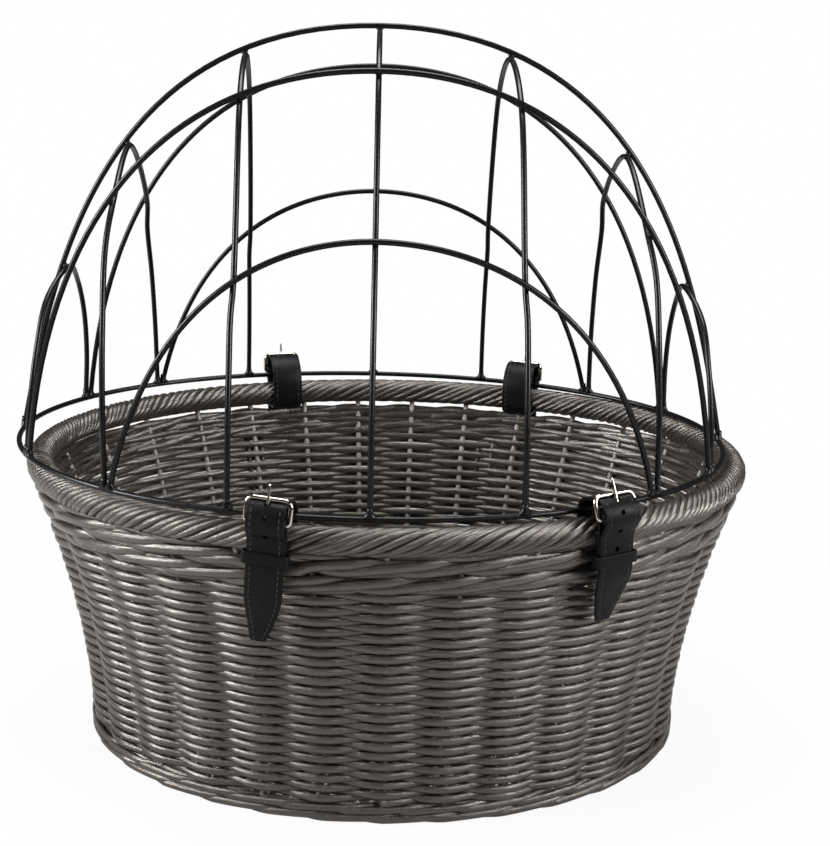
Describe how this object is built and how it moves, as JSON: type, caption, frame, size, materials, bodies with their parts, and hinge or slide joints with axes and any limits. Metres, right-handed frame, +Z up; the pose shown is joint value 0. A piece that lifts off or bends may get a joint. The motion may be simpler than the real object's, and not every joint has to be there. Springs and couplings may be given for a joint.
{
  "type": "bicycle basket with wire dome",
  "caption": "Oval woven bicycle basket with a domed wire cover that rests on the rolled border and is held by buckled leather straps; the cover tilts open on the back straps.",
  "frame": {"origin": "middle of the flat underside of the basket, on the floor", "axes": "+X along the long side to the right, +Y from the front with two straps to the back, +Z up"},
  "size_m": [0.5471, 0.4114, 0.5323],
  "materials": {
    "wicker": "satin woven synthetic wicker, dark grey-brown, fine grooves along each strand",
    "wicker_dark": "satin synthetic wicker, darker and in shade",
    "black_wire": "satin black coated steel wire",
    "black_leather": "black smooth leather with pressed and stitched edges",
    "nickel": "bright nickel plating"
  },
  "bodies": {
    "basket": {"woven_wall": "wicker", "rim_border": "wicker", "foot_border": "wicker", "base_panel": "wicker_dark", "stake_frame": "wicker_dark", "front_left_strap": "black_leather", "front_right_strap": "black_leather", "back_left_strap": "black_leather", "back_right_strap": "black_leather"},
    "dome": {"base_ring": "black_wire", "ridge_arch": "black_wire", "front_mid_arch": "black_wire", "back_mid_arch": "black_wire", "front_low_arch": "black_wire", "back_low_arch": "black_wire", "cross_arch_1": "black_wire", "cross_arch_2": "black_wire", "cross_arch_3": "black_wire", "cross_arch_4": "black_wire", "cross_arch_5": "black_wire", "cross_arch_6": "black_wire", "cross_arch_7": "black_wire"},
    "front_left_keeper": {"front_left_keeper": "black_leather"},
    "front_left_buckle": {"front_left_buckle": "nickel"},
    "front_left_prong": {"front_left_prong": "nickel"},
    "front_right_keeper": {"front_right_keeper": "black_leather"},
    "front_right_buckle": {"front_right_buckle": "nickel"},
    "front_right_prong": {"front_right_prong": "nickel"},
    "back_left_keeper": {"back_left_keeper": "black_leather"},
    "back_left_buckle": {"back_left_buckle": "nickel"},
    "back_left_prong": {"back_left_prong": "nickel"},
    "back_right_keeper": {"back_right_keeper": "black_leather"},
    "back_right_buckle": {"back_right_buckle": "nickel"},
    "back_right_prong": {"back_right_prong": "nickel"}
  },
  "joints": [
    {"name": "dome_tilt", "type": "hinge", "parent": "basket", "child": "dome", "pos_m": [-0.0881, 0.1981, 0.2342], "axis": [-0.997, 0.0759, 0.0121], "range_deg": [0, 42], "deforming": ["front_left_strap", "front_right_strap"]},
    {"name": "front_left_buckle_turn", "type": "hinge", "parent": "basket", "child": "front_left_buckle", "pos_m": [-0.07453, -0.19649, 0.23265], "axis": [0.9764, -0.2043, -0.0698], "range_deg": [0, 4]},
    {"name": "front_left_prong_turn", "type": "hinge", "parent": "front_left_buckle", "child": "front_left_prong", "pos_m": [-0.07453, -0.19649, 0.23265], "axis": [0.9764, -0.2043, -0.0698], "range_deg": [0, 6]},
    {"name": "front_left_keeper_slide", "type": "slide", "parent": "basket", "child": "front_left_keeper", "axis": [0.0683, -0.0143, 0.9976], "range_m": [0, 0.006]},
    {"name": "front_right_buckle_turn", "type": "hinge", "parent": "basket", "child": "front_right_buckle", "pos_m": [0.14671, -0.17297, 0.23119], "axis": [0.9066, 0.4206, 0.0349], "range_deg": [0, 4]},
    {"name": "front_right_prong_turn", "type": "hinge", "parent": "front_right_buckle", "child": "front_right_prong", "pos_m": [0.14671, -0.17297, 0.23119], "axis": [0.9066, 0.4206, 0.0349], "range_deg": [0, 6]},
    {"name": "front_right_keeper_slide", "type": "slide", "parent": "basket", "child": "front_right_keeper", "axis": [-0.0317, -0.0147, 0.9994], "range_m": [0, 0.006]},
    {"name": "back_left_buckle_turn", "type": "hinge", "parent": "basket", "child": "back_left_buckle", "pos_m": [-0.09408, 0.19592, 0.2328], "axis": [-0.967, -0.2547, 0], "range_deg": [0, 4]},
    {"name": "back_left_prong_turn", "type": "hinge", "parent": "back_left_buckle", "child": "back_left_prong", "pos_m": [-0.09408, 0.19592, 0.2328], "axis": [-0.967, -0.2547, 0], "range_deg": [0, 6]},
    {"name": "back_left_keeper_slide", "type": "slide", "parent": "basket", "child": "back_left_keeper", "axis": [0, 0, 1], "range_m": [0, 0.006]},
    {"name": "back_right_buckle_turn", "type": "hinge", "parent": "basket", "child": "back_right_buckle", "pos_m": [0.12407, 0.18236, 0.23135], "axis": [-0.9378, 0.3472, 0], "range_deg": [0, 4]},
    {"name": "back_right_prong_turn", "type": "hinge", "parent": "back_right_buckle", "child": "back_right_prong", "pos_m": [0.12407, 0.18236, 0.23135], "axis": [-0.9378, 0.3472, 0], "range_deg": [0, 6]},
    {"name": "back_right_keeper_slide", "type": "slide", "parent": "basket", "child": "back_right_keeper", "axis": [0, 0, 1], "range_m": [0, 0.006]}
  ]
}
